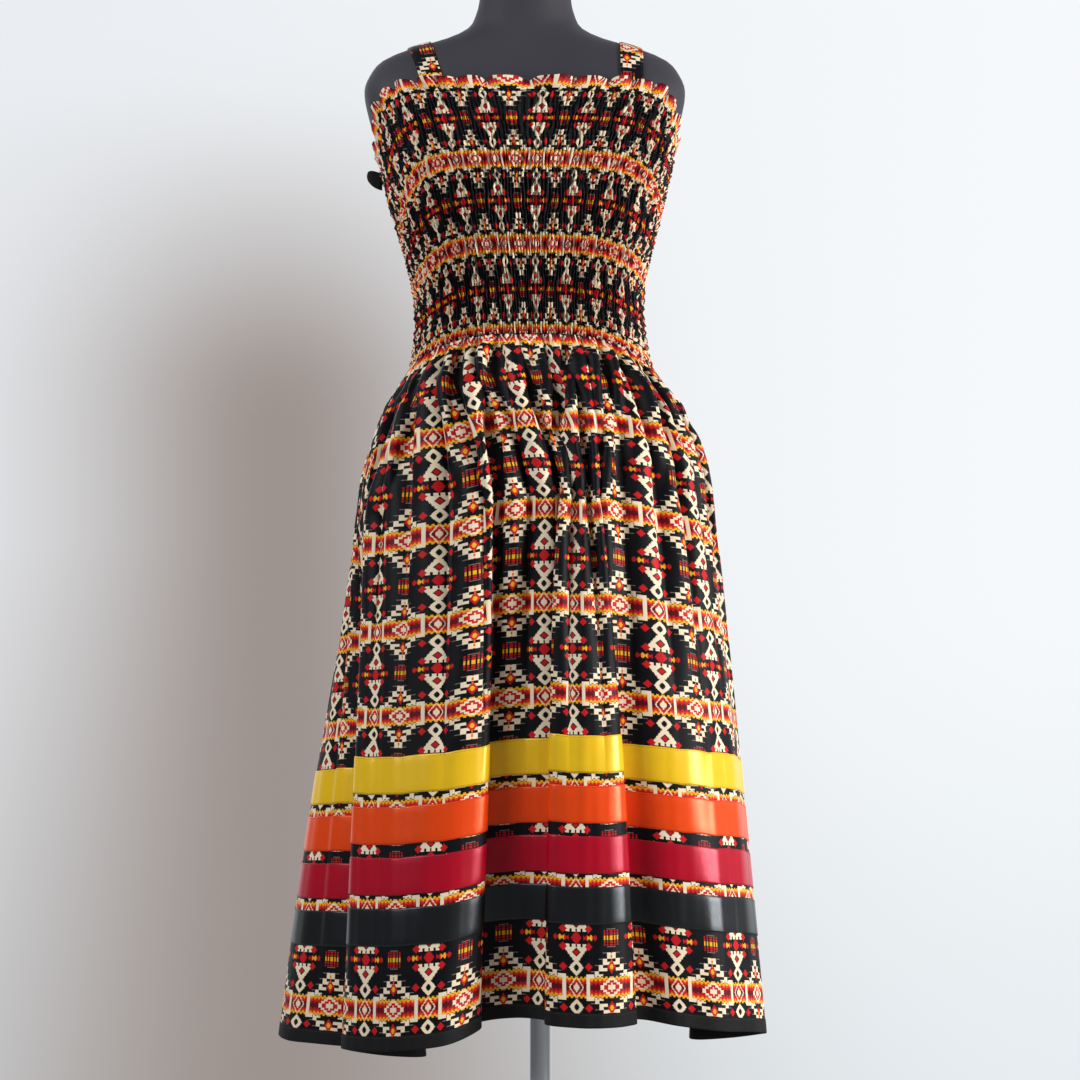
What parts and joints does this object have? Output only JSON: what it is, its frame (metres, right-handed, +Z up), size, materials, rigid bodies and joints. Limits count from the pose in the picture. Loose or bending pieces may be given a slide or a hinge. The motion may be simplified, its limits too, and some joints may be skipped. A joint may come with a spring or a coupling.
{
  "type": "ribbon sundress on a dress form",
  "caption": "Midi sundress with a shirred bodice, ruffled top edge, shoulder straps and satin ribbons round its gathered skirt, worn on a limbless dress form on a steel pole and round base.",
  "frame": {"origin": "on the floor at the middle of the round base, under the pole", "axes": "+Z up along the pole; the dress faces -Y; +X is the viewer's right when looking at its front"},
  "size_m": [0.5367, 0.433, 1.5],
  "materials": {
    "stand_chrome": "polished",
    "form_jersey": "matt stretch jersey",
    "printed_cotton": "printed plain-weave cotton, black ground with cream, red, orange and gold",
    "satin_yellow": "satin",
    "satin_orange": "satin",
    "satin_red": "satin",
    "satin_black": "satin",
    "hem_tape": "matt folded binding tape"
  },
  "bodies": {
    "root": {"base_plate": "stand_chrome", "pole": "stand_chrome", "form_torso": "form_jersey", "bodice_front": "printed_cotton", "ruffle_front": "printed_cotton", "skirt_front": "printed_cotton", "ribbon_yellow_front": "satin_yellow", "ribbon_orange_front": "satin_orange", "ribbon_red_front": "satin_red", "ribbon_black_front": "satin_black", "hem_binding_front": "hem_tape", "bodice_back": "printed_cotton", "ruffle_back": "printed_cotton", "skirt_back": "printed_cotton", "ribbon_yellow_back": "satin_yellow", "ribbon_orange_back": "satin_orange", "ribbon_red_back": "satin_red", "ribbon_black_back": "satin_black", "hem_binding_back": "hem_tape", "strap_left": "printed_cotton", "strap_right": "printed_cotton"}
  },
  "joints": []
}
